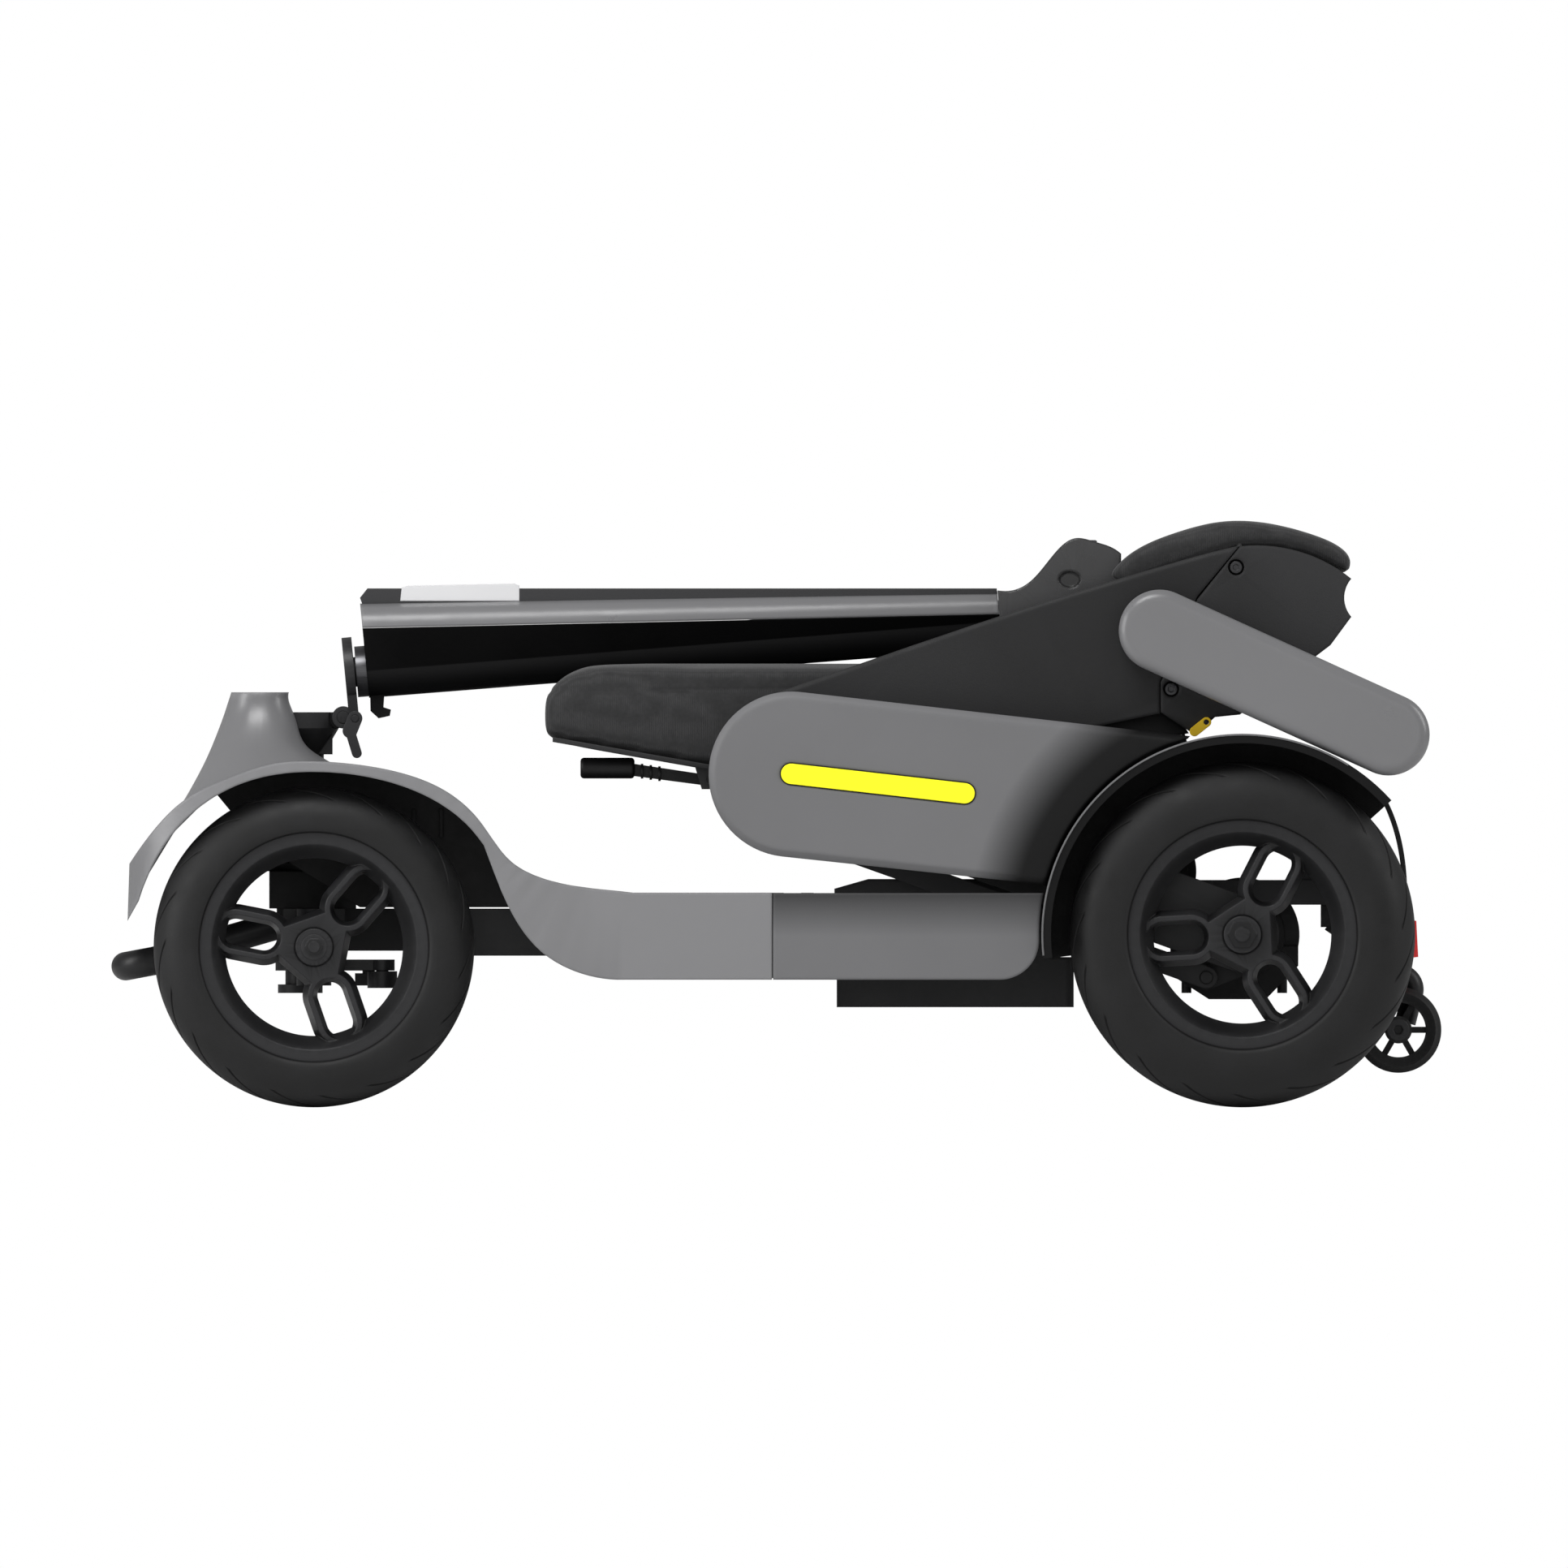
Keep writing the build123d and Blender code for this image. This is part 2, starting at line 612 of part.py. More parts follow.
def cover_profile(inset):
    tail = Line((333, 298.7 - inset), (218, 179 + inset))
    hull = make_hull(disc(PIVOT_X, PIVOT_Z, CAP_R - inset).edges() + tail.edges())
    return hull


def stripe_profile(r):
    return stadium(12, 268.4, 151.5, 252.7, r)


def arm_covers():
    cover = slab(cover_profile(0), COVER_IN, COVER_OUT)
    outer = cover.edges().filter_by(lambda e: e.center().Y > COVER_OUT - 0.1)
    cover = chamfer(outer, 5)
    cover -= slab(stripe_profile(8.6), COVER_OUT - 3, COVER_OUT + 1)
    cover -= slab(cover_profile(6), COVER_IN + 5, COVER_OUT - 7)
    cover += rod(PIVOT_X, PIVOT_Z, COVER_IN, COVER_OUT - 5, 20)
    return mirrored(cover - rod(REAR_X, REAR_Z, COVER_IN - 5, COVER_OUT + 5, ARCH_R))


def arm_stripes():
    return mirrored(slab(stripe_profile(8.2), COVER_OUT - 3, COVER_OUT + 1))


def level_rods():
    bar = stadium(ROD_X, ROD_Z, LUG_X, LUG_Z, 9)
    bar -= disc(ROD_X, ROD_Z, 5 + RUN) + disc(LUG_X, LUG_Z, 5 + GAP)
    return mirrored(slab(bar, 164, 176))


def seat_pan():
    plate = poly((-180, 294), (-54, 271.9), (170, 271.9), (170, 275.9), (-54, 275.9), (-180, 298))
    pan = slab(plate, -184, 184)
    cheek = poly((-44, 273), (66, 273), (34, 256), (12, 244), (-17, 222), (-29, 234))
    cheek += disc(PIVOT_X, PIVOT_Z, 24) + disc(LUG_X, LUG_Z, 12)
    pan += mirrored(slab(cheek, 180, 188))
    pan += mirrored(rod(LUG_X, LUG_Z, 163, 181, 5))
    pan += slab(poly((-66, 276), (-40, 273), (-46, 256), (-60, 256)), -172, -166)
    pan += slab(poly((-66, 276), (-40, 273), (-46, 256), (-60, 256)), -148, -142)
    pan -= mirrored(rod(PIVOT_X, PIVOT_Z, 177, 190, PIVOT_R + RUN))
    return pan - rod(-53, 264, -180, -140, 3 + RUN)


def seat_lever():
    lever = rod(-53, 264, -172.5, -141.5, 3) + rod(-53, 264, -165.6, -148.4, 6)
    lever += slab(poly((-58, 260), (-50, 258), (-118, 267), (-118, 277), (-58, 268)), -161, -153)
    grip = Pos(-135.8, -157, 273) * Rot(0, 90, 0) * Cylinder(8.4, 43.6)
    lever += fillet(grip.edges(), 3)
    for k in range(3):
        lever += Pos(-108 + 7 * k, -157, 270.5 - k) * Rot(0, 90, 0) * Cylinder(6, 2)
    return lever


def seat_cushion():
    nose = Spline((-188.4, 325), (-179.5, 341.2), (-165.7, 348.9), (-144, 353), (-110, 354))
    rest = Polyline((-110, 354), (174, 354), (174, 276.1), (-54, 276.1), (-188.4, 299.7), (-188.4, 325))
    cushion = slab(make_face([nose, rest]), -CUSHION_HALF_W, CUSHION_HALF_W)
    return cushion - along(60, 420, 23)


def wing_profile():
    edge = Spline((-7.5, 331), (182, 396), (322, 439), (355, 448), (372.5, 452))
    lines = [
        edge,
        Polyline((372.5, 452), (338.6, 411), (308.5, 342), (308.5, 317), (250, 305), (30, 204), (-7.5, 331)),
    ]
    return make_face(lines) + disc(PIVOT_X, PIVOT_Z, 66)


def back_wings():
    wing = slab(wing_profile(), WING_IN, WING_OUT)
    wing = fillet(wing.edges().filter_by(lambda e: e.center().Y > WING_OUT - 0.1 and e.length > 300), 3)
    wing += rod(REST_X, REST_Z, WING_OUT - 1, 250, 10)
    return mirrored(wing - rod(PIVOT_X, PIVOT_Z, 200, 220, PIVOT_R + RUN))


def shell_profile():
    outline = Polyline(
        (373.3, 451.5), (338.9, 409), (309.3, 342), (309.3, 318), (337, 299.5), (353, 314), (373, 316),
        (446, 372), (462.7, 394.7),
    )
    rear = ThreePointArc((462.7, 394.7), (457, 409), (462.7, 425.4))
    return make_face([outline, rear, ThreePointArc((462.7, 425.4), (425, 446), (373.3, 451.5))])


def back_shell():
    """Hollow cross box of the backrest with a support plate that runs under the pad."""
    shell = slab(shell_profile(), -WING_OUT, WING_OUT)
    shell -= slab(offset(shell_profile(), -5), -WING_IN, WING_IN)
    shell -= block(385, 425, -150, 150, 300, 370)
    shell += slab(poly((296, 418), (300, 424), (372, 449), (385, 450), (380, 444), (345, 432)), -205.5, 205.5)
    shell -= rod(PIVOT_X, PIVOT_Z, -HEAD_CLEAR_Y, HEAD_CLEAR_Y, HEAD_CLEAR_R)
    lip = offset(shell_profile(), 2.5) & offset(wing_profile(), 2)
    shell += mirrored(slab(lip, 199, 205.6))
    shell += mirrored(slab(poly((244, 312), (312, 332), (332, 301), (300, 294), (262, 296)), 187.5, 191))
    for x, z in ((369.9, 434.6), (317.7, 336.6)):
        shell -= mirrored(rod(x, z, WING_OUT - 4, WING_OUT + 1, 6.5))
    shell += mirrored(rod(346, 310, 217, 222.8, 2))
    return shell - mirrored(slab(disc(REAR_X, REAR_Z, ARCH_R), 0, 230))


def back_pad():
    top = Spline(
        (267, 425), (282, 441.5), (321.6, 460.5), (361, 469.7), (410, 465.2), (435, 457.8),
        (454, 449), (463.5, 440),
    )
    seat = ThreePointArc((463, 426), (425, 446.5), (373.3, 452))
    under = Polyline((373.3, 452), (300, 427.5), (290, 420), (267, 425))
    pad = slab(make_face([top, Line((463.5, 440), (463, 426)), seat, under]), -196, 196)
    return pad - block(260, 290, -HEAD_CLEAR_Y, HEAD_CLEAR_Y, 400, 470)


def release_tabs():
    tab = stadium(336.5, 302.5, 346, 310, 4) - disc(346, 310, 2 + RUN)
    return slab(tab, 218.4, 222.6)


def armrest():
    arm = slab(stadium(REST_X, REST_Z, REST_END_X, REST_END_Z, REST_R), 226, 274)
    arm = fillet(arm.edges().filter_by(lambda e: e.center().Y > 273.9), 9)
    return arm - rod(REST_X, REST_Z, 220, 250.4, 10 + RUN)


def main():
    make_wheels()
    for name, part in (
        ("main_frame", main_frame()),
        ("front_axle_beam", front_axle_beam()),
        ("deck_floor", deck()),
        ("deck_mat", deck_mat()),
        ("front_body", front_body()),
        ("front_liners", front_liners()),
        ("rear_skirts", skirts_rear()),
        ("bumper", bumper()),
        ("battery_case", battery_case()),
        ("transaxle", transaxle()),
        ("motor", motor()),
        ("rear_fenders", rear_fenders()),
        ("rear_cover", rear_cover()),
        ("rear_lamps", rear_lamps()),
        ("anti_tip_arms", anti_tip_arms()),
        ("steering_head", steering_head()),
        ("steering_column", steering_column()),
        ("knuckle_R", knuckle()),
        ("knuckle_L", flip(knuckle())),
        ("tie_rod", tie_rod()),
        ("hinge_flange", hinge_flange()),
        ("fold_lever", fold_lever()),
        ("tiller_tube", tiller_tube()),
        ("shroud_rear", shroud_rear()),
        ("shroud_front", shroud_front()),
        ("shroud_insert", shroud_insert()),
        ("headlight", slab(headlight_profile(), -16.8, 16.8)),
        ("control_head", control_head()),
        ("handlebar", handlebar()),
        ("hand_grips", hand_grips()),
        ("lift_arms", lift_arms()),
        ("arm_covers", arm_covers()),
        ("arm_stripes", arm_stripes()),
        ("level_rods", level_rods()),
        ("seat_pan", seat_pan()),
        ("seat_lever", seat_lever()),
        ("seat_cushion", seat_cushion()),
        ("back_wings", back_wings()),
        ("back_shell", back_shell()),
        ("back_pad", back_pad()),
        ("release_tab_R", release_tabs()),
        ("release_tab_L", flip(release_tabs())),
        ("armrest_R", armrest()),
        ("armrest_L", flip(armrest())),
    ):
        save(name, part)
    button, key, lever = head_controls()
    save("horn_button", button)
    save("power_key", key)
    save("thumb_lever_R", lever)
    save("thumb_lever_L", flip(lever))


main()
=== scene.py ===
import bpy
import json
import numpy as np
from math import atan2, cos, pi, radians, sin
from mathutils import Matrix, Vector


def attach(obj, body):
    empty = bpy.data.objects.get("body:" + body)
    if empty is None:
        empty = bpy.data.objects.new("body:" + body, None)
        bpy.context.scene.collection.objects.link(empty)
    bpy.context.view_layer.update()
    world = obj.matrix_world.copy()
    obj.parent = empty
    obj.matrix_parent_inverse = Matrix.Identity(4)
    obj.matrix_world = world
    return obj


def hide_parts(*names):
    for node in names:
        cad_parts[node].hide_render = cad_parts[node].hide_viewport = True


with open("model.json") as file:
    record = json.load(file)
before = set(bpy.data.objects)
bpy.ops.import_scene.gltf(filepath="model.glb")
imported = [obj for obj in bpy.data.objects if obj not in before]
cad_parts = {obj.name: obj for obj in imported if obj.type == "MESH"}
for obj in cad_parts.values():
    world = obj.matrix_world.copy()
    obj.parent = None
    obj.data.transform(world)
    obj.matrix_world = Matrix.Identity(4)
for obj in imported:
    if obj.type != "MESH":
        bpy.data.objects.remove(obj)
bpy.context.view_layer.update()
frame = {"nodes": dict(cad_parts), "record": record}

# Tyres: axle x, centre line y, axle z, outer radius and half of the round section, in metres.
FRONT = (-0.372, 0.226, 0.129, 0.129, 0.030)
REAR = (0.375, 0.240, 0.139, 0.139, 0.033)
SIDES = ((-1, "L"), (1, "R"))


# ---------------------------------------------------------------- materials

class Nodes:
    """Wires one principled material."""

    def __init__(self, name):
        self.mat = bpy.data.materials.new(name)
        self.mat.use_nodes = True
        self.tree = self.mat.node_tree
        self.bsdf = self.tree.nodes["Principled BSDF"]
        self.coord = self.tree.nodes.new("ShaderNodeTexCoord").outputs["Object"]

    def new(self, kind, **values):
        node = self.tree.nodes.new(kind)
        for key, value in values.items():
            setattr(node, key, value)
        return node

    def feed(self, socket, value):
        """Links an output to a socket, or sets a plain value on the socket itself."""
        if hasattr(value, "is_output"):
            self.tree.links.new(value, socket)
        else:
            socket.default_value = value

    def surface(self, values):
        """Feeds the shader's sockets and hands back the material."""
        for name, value in values.items():
            self.feed(self.bsdf.inputs[name], value)
        return self.mat

    def noise(self, scale, detail=4.0, rough=0.5, vector=None):
        node = self.new("ShaderNodeTexNoise")
        self.feed(node.inputs["Scale"], scale)
        self.feed(node.inputs["Detail"], detail)
        self.feed(node.inputs["Roughness"], rough)
        self.feed(node.inputs["Vector"], vector or self.coord)
        return node.outputs["Fac"]

    def ramp(self, fac, a, b, ca, cb):
        node = self.new("ShaderNodeValToRGB")
        node.color_ramp.elements[0].position = a
        node.color_ramp.elements[1].position = b
        node.color_ramp.elements[0].color = ca
        node.color_ramp.elements[1].color = cb
        self.feed(node.inputs["Fac"], fac)
        return node.outputs["Color"]

    def math(self, op, *values, clamp=False):
        node = self.new("ShaderNodeMath", operation=op, use_clamp=clamp)
        for socket, value in zip(node.inputs, values):
            self.feed(socket, value)
        return node.outputs[0]

    def mix(self, fac, a, b):
        """Blends two colours; 0, 6 and 7 are the factor and colour sockets of a colour mix."""
        node = self.new("ShaderNodeMix", data_type="RGBA")
        for i, value in ((0, fac), (6, a), (7, b)):
            self.feed(node.inputs[i], value)
        return node.outputs[2]

    def bump(self, height, strength, distance, normal=None):
        node = self.new("ShaderNodeBump")
        self.feed(node.inputs["Strength"], strength)
        self.feed(node.inputs["Distance"], distance)
        self.feed(node.inputs["Height"], height)
        if normal is not None:
            self.feed(node.inputs["Normal"], normal)
        return node.outputs["Normal"]

    def bevel(self, radius, samples=4):
        node = self.new("ShaderNodeBevel", samples=samples)
        self.feed(node.inputs["Radius"], radius)
        return node.outputs["Normal"]

    def edges(self, low=0.52, high=0.6):
        """1 on convex edges and 0 on flat ground."""
        geo = self.new("ShaderNodeNewGeometry")
        return self.ramp(geo.outputs["Pointiness"], low, high, grey(0), grey(1))

    def xyz(self):
        node = self.new("ShaderNodeSeparateXYZ")
        self.feed(node.inputs[0], self.coord)
        return node.outputs

    def mottled(self, colour, spread):
        """Colour that drifts by the given share over a few centimetres."""
        light, dark = rgba(colour, 1 + spread), rgba(colour, 1 - spread)
        return self.ramp(self.noise(9.0, 6.0), 0.3, 0.72, dark, light)

    def uneven(self, rough):
        """Roughness that drifts by 15 percent."""
        cloud = self.noise(24.0, 8.0, 0.6)
        return self.ramp(cloud, 0.3, 0.75, grey(rough, 0.85), grey(rough, 1.15))


def rgba(v, k=1.0):
    return (v[0] * k, v[1] * k, v[2] * k, 1.0)


def grey(v, k=1.0):
    return rgba((v, v, v), k)


def coated(name, colour, rough, grain=900.0, bump=0.12, wear=1.35, metallic=0.0, bevel=0.0012,
           mottling=0.12, shine=0.25):
    """Moulded or painted surface: fine grain, faint mottling, lighter edges, uneven gloss."""
    n = Nodes(name)
    return n.surface({
        "Base Color": n.mix(n.edges(), n.mottled(colour, mottling), rgba(colour, wear)),
        "Roughness": n.uneven(rough),
        "Metallic": metallic,
        "Specular IOR Level": shine,
        "Normal": n.bump(n.noise(grain, 3.0), bump, 0.0004, n.bevel(bevel)),
    })


def shaded(n, colour, rough, shade, least, bevel):
    """Grey cover whose colour falls to the share `least` of itself where shade is 0."""
    return n.surface({
        "Base Color": n.mix(shade, rgba(colour, least), n.mottled(colour, 0.03)),
        "Roughness": n.uneven(rough),
        "Specular IOR Level": 0.16,
        "Normal": n.bump(n.noise(900.0, 3.0), 0.06, 0.0003, n.bevel(bevel, 8)),
    })


ARCH_RADIUS = 0.183     # where the shade towards the rear wheel arch is darkest
ARCH_FADE = 0.038
SKIRT_TOP = 0.174       # where the skirts' shade is darkest
SKIRT_FADE = 0.036


def near_arch(name, colour, rough):
    """Grey cover that falls into shade towards the rear wheel arch."""
    n = Nodes(name)
    x, _, z = n.xyz()
    dx = n.math("SUBTRACT", x, REAR[0])
    dz = n.math("SUBTRACT", z, REAR[2])
    square = n.math("ADD", n.math("MULTIPLY", dx, dx), n.math("MULTIPLY", dz, dz))
    away = n.math("SUBTRACT", n.math("SQRT", square), ARCH_RADIUS)
    shade = n.math("POWER", n.math("DIVIDE", away, ARCH_FADE, clamp=True), 1.3)
    return shaded(n, colour, rough, shade, 0.03, 0.0055)


def top_shade(name, colour, rough):
    """Grey skirt that darkens towards its upper edge, under the seat cover."""
    n = Nodes(name)
    below = n.math("SUBTRACT", SKIRT_TOP, n.xyz()[2])
    shade = n.math("DIVIDE", below, SKIRT_FADE, clamp=True)
    return shaded(n, colour, rough, shade, 0.22, 0.004)


def rubber(name):
    """Tyre rubber, lighter on worn edges, near black where the painted-shade mesh attribute is 1.
    """
    n = Nodes(name)
    cloud = n.noise(30.0, 8.0, 0.65)
    body = n.ramp(cloud, 0.3, 0.75, grey(0.0075), rgba((0.012, 0.012, 0.0125)))
    worn = n.mix(n.edges(0.53, 0.63), body, grey(0.030))
    # Painted shade of the sipes and the bead gap, read from the mesh attribute.
    painted_shade = n.new("ShaderNodeAttribute", attribute_name="painted_shade").outputs["Fac"]
    return n.surface({
        "Base Color": n.mix(painted_shade, worn, grey(0.0004)),
        "Roughness": n.ramp(n.noise(60.0, 6.0), 0.3, 0.8, grey(0.50), grey(0.68)),
        "Specular IOR Level": 0.2,
        "Normal": n.bump(n.noise(1400.0, 2.0), 0.25, 0.0003),
    })


def weave(name, dark, light):
    """Woven upholstery: two crossed thread waves with a fuzzy speckle."""
    n = Nodes(name)
    waves = []
    for direction in ("X", "Y"):
        wave = n.new("ShaderNodeTexWave", bands_direction=direction)
        for socket, value in (("Scale", 210.0), ("Distortion", 1.6), ("Detail", 2.0)):
            n.feed(wave.inputs[socket], value)
        n.feed(wave.inputs["Vector"], n.coord)
        waves.append(wave.outputs["Fac"])
    thread = n.math("MULTIPLY", n.math("MULTIPLY", *waves), 0.6)
    tint = n.math("ADD", thread, n.math("MULTIPLY", n.noise(380.0, 4.0), 0.5))
    return n.surface({
        "Base Color": n.ramp(tint, 0.2, 0.85, rgba(dark), rgba(light)),
        "Roughness": n.ramp(n.noise(90.0, 5.0), 0.2, 0.9, grey(0.72), grey(0.95)),
        "Sheen Weight": 0.12,
        "Normal": n.bump(tint, 0.45, 0.0006),
    })


def lens(name, colour, glow):
    """Ribbed lamp lens."""
    n = Nodes(name)
    wave = n.new("ShaderNodeTexWave", bands_direction="Y")
    n.feed(wave.inputs["Scale"], 90.0)
    n.feed(wave.inputs["Vector"], n.coord)
    ribs = wave.outputs["Fac"]
    body = n.ramp(ribs, 0.0, 1.0, rgba(colour, 0.85), rgba(colour))
    return n.surface({
        "Base Color": body,
        "Roughness": n.ramp(n.noise(40.0), 0.2, 0.8, grey(0.12), grey(0.22)),
        "Emission Color": body,
        "Emission Strength": glow,
        "Coat Weight": 0.5,
        "Normal": n.bump(ribs, 0.2, 0.0005, n.bevel(0.001)),
    })


def brushed(name, colour, rough):
    """Bare metal with streaks along x."""
    n = Nodes(name)
    stretch = n.new("ShaderNodeMapping")
    n.feed(stretch.inputs["Scale"], (1.0, 60.0, 60.0))
    n.feed(stretch.inputs["Vector"], n.coord)
    streak = n.noise(18.0, 6.0, 0.6, stretch.outputs[0])
    return n.surface({
        "Base Color": n.ramp(streak, 0.3, 0.7, rgba(colour, 0.8), rgba(colour, 1.15)),
        "Roughness": n.ramp(streak, 0.3, 0.7, grey(rough, 0.8), grey(rough, 1.25)),
        "Metallic": 1.0,
        "Normal": n.bump(streak, 0.08, 0.0002, n.bevel(0.0006)),
    })


GREY = (0.132, 0.132, 0.136)
LOOKS = {
    "frame_black": coated("frame_black", (0.009, 0.009, 0.0095), 0.42, 500.0, 0.15, 2.2),
    "body_grey": coated("body_grey", GREY, 0.32, 1100.0, 0.06, 1.25, bevel=0.003,
                        mottling=0.03, shine=0.45),
    "cover_grey": near_arch("cover_grey", GREY, 0.42),
    "skirt_grey": top_shade("skirt_grey", GREY, 0.38),
    "trim_black": coated("trim_black", (0.004, 0.004, 0.0042), 0.5, 700.0, 0.2, 2.0),
    "charcoal": coated("charcoal", (0.011, 0.011, 0.0115), 0.55, 800.0, 0.2, 1.8, bevel=0.004,
                       mottling=0.05),
    "gloss_black": coated("gloss_black", (0.010, 0.010, 0.0105), 0.22, 300.0, 0.02, 2.0,
                          bevel=0.003, shine=0.6),
    "deep_black": coated("deep_black", (0.0022, 0.0022, 0.0023), 0.55, 700.0, 0.2, 2.0,
                         shine=0.12),
    "strip_grey": coated("strip_grey", (0.020, 0.020, 0.021), 0.45, 800.0, 0.12, 1.5),
    "tyre": rubber("tyre"),
    "rim_dark": coated("rim_dark", (0.009, 0.009, 0.0095), 0.40, 600.0, 0.12, 2.4, metallic=0.2,
                       bevel=0.002),
    "mat_rubber": coated("mat_rubber", (0.010, 0.010, 0.010), 0.75, 500.0, 0.5, 1.6),
    "steel": brushed("steel", (0.10, 0.10, 0.105), 0.32),
    "stripe_yellow": coated("stripe_yellow", (0.95, 0.92, 0.012), 0.4, 900.0, 0.08, 1.0,
                            mottling=0.02),
    "tab_orange": coated("tab_orange", (1.0, 0.66, 0.012), 0.38, 900.0, 0.1, 1.0,
                         mottling=0.03),
    "lamp_red": lens("lamp_red", (0.75, 0.02, 0.02), 0.15),
    "lamp_white": lens("lamp_white", (0.62, 0.62, 0.63), 0.0),
    "pad_fabric": weave("pad_fabric", (0.006, 0.006, 0.0065), (0.022, 0.022, 0.023)),
}
# Near black painted shade for the groove around the stripe.
DARK = coated("painted_recess_shade", (0.006, 0.006, 0.006), 0.6, 400.0, 0.2, 1.5)
SCREW = brushed("screw_steel", (0.05, 0.05, 0.052), 0.35)


def paint(obj, mat):
    """Gives an object one material in place of what it had."""
    obj.data.materials.clear()
    obj.data.materials.append(mat)


# A node takes the look of its material slot, apart from these few.
SLOT_OF = {part["node"]: part["material_slot"] for part in frame["record"]["subparts"]}
OWN_LOOK = {
    "arm_covers": "cover_grey",
    "rear_half_shaft_L": "rim_dark",
    "rear_half_shaft_R": "rim_dark",
    "shroud_insert": "strip_grey",
    "rear_skirts": "skirt_grey",
    "battery_case": "charcoal",
    "shroud_rear": "deep_black",
    "rear_fenders": "deep_black",
}
for node, obj in frame["nodes"].items():
    paint(obj, LOOKS[OWN_LOOK.get(node, SLOT_OF[node])])


# ---------------------------------------------------------------- mesh helpers

def mesh_object(name, verts, faces, mat, smooth=True):
    mesh = bpy.data.meshes.new(name)
    mesh.from_pydata([tuple(v) for v in verts], [], faces)
    mesh.update()
    obj = bpy.data.objects.new(name, mesh)
    bpy.context.scene.collection.objects.link(obj)
    paint(obj, mat)
    if smooth:
        mesh.shade_smooth()
    return obj


def grid_faces(rows, cols):
    """Quads of a grid closed both ways."""
    faces = []
    for i in range(rows):
        for j in range(cols):
            a, b = i * cols + j, i * cols + (j + 1) % cols
            c, d = ((i + 1) % rows) * cols + (j + 1) % cols, ((i + 1) % rows) * cols + j
            faces.append((a, d, c, b))
    return faces


SIPES = 19              # grooves on each shoulder
PITCH = 360.0 / SIPES   # angles here are degrees: around the tyre, or across its round section
STEPS = 1520            # grid points around
SIPE_WIDTH = 1.1        # half of a groove's width
SIPE_DEPTH = 0.0011
SIPE_SWEEP = 0.52       # how far a groove turns around for each degree across
SIPE_FOOT = 48.0        # across, where the sweep starts
SIPE_OUTER = (47.0, 2.5)    # across, where a groove ends on the shoulder, and its run-out
SIPE_INNER = (3.0, 3.0)     # the same by the crown
DARK_FROM = 0.0006      # depth at which a groove's painted shade is full
WALL = ((0.0965, 0.985), (0.0938, 0.955), (0.0922, 0.90), (0.0921, 0.84))   # radius, share of half
BEAD_POINTS = 2         # innermost points of each wall, with painted shade of the gap at the rim


def tyre_piece(name, node, spec, side, body, phase):
    """Round-crowned tyre with curved sipes sunk into both shoulders and moulded bead rings, all
    with painted shade.
    """
    x0, y0, z0, outer, half = spec
    psi = np.radians(np.linspace(-90, 90, 91))
    inner_r = [r for r, k in WALL]
    inner_y = [half * k for r, k in WALL]
    radius = np.concatenate([inner_r[::-1], outer - half + half * np.cos(psi), inner_r])
    axial = np.concatenate([[-v for v in inner_y[::-1]], half * np.sin(psi), inner_y])
    deg = np.concatenate([[-95.0] * len(WALL), np.degrees(psi), [95.0] * len(WALL)])
    theta = np.linspace(0, 2 * pi, STEPS, endpoint=False)
    sweep = np.radians(np.clip(SIPE_FOOT - np.abs(deg), 0, None) * SIPE_SWEEP)
    around = theta[:, None] + sweep[None, :]
    turned = np.degrees(theta)[:, None] + phase + np.where(deg > 0, PITCH / 2, 0)[None, :]
    off = (turned + PITCH / 2) % PITCH - PITCH / 2
    across = np.clip(1.0 - (np.abs(off) / SIPE_WIDTH) ** 2, 0, 1)
    reach = np.clip((SIPE_OUTER[0] - np.abs(deg)) / SIPE_OUTER[1], 0, 1)
    reach = reach * np.clip((np.abs(deg) - SIPE_INNER[0]) / SIPE_INNER[1], 0, 1)
    depth = SIPE_DEPTH * np.sqrt(across) * reach[None, :]
    tilt = np.radians(np.clip(deg, -90, 90))
    rr = radius[None, :] - depth * np.cos(tilt)[None, :]
    yy = axial[None, :] - depth * np.sin(tilt)[None, :]
    x, z = x0 + rr * np.cos(around), z0 + rr * np.sin(around)
    verts = np.stack([x, side * (y0 + yy), z], axis=-1).reshape(-1, 3)
    faces = grid_faces(STEPS, len(radius))
    if side > 0:
        faces = [f[::-1] for f in faces]
    obj = mesh_object(name, verts, faces, LOOKS["tyre"])
    # Painted shade: the sipes darken with depth and the bead rings go fully dark.
    shade = np.clip(depth / DARK_FROM, 0, 1)
    shade[:, :BEAD_POINTS] = 1.0
    shade[:, -BEAD_POINTS:] = 1.0
    painted_shade = obj.data.attributes.new("painted_shade", "FLOAT", "POINT")
    painted_shade.data.foreach_set("value", shade.reshape(-1).astype(np.float32))
    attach(obj, body)
    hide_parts(node)
    return obj


for side, tag in SIDES:
    for end, spec, phase in (("front", FRONT, 3.0), ("rear", REAR, 8.0)):
        tyre_piece(end + "_tyre_visual_" + tag, end + "_tyre_" + tag, spec, side,
                   end + "_wheel_" + tag, phase)


# ---------------------------------------------------------------- small trim

def trim(name, rings, closed, mat, body, side):
    """Skins a stack of rings (equal length lists of x, y, z); a closed stack joins end to start."""
    count, size = len(rings), len(rings[0])
    verts = [(x, side * y, z) for ring in rings for x, y, z in ring]
    faces = []
    for i in range(count if closed else count - 1):
        a, b = i * size, ((i + 1) % count) * size
        for j in range(size):
            k = (j + 1) % size
            faces.append((a + j, a + k, b + k, b + j))
    if not closed:
        faces.append(tuple(range(size))[::-1])
        faces.append(tuple((count - 1) * size + j for j in range(size)))
    if side > 0:
        faces = [f[::-1] for f in faces]
    obj = mesh_object(name, verts, faces, mat, smooth=False)
    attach(obj, body)
    return obj


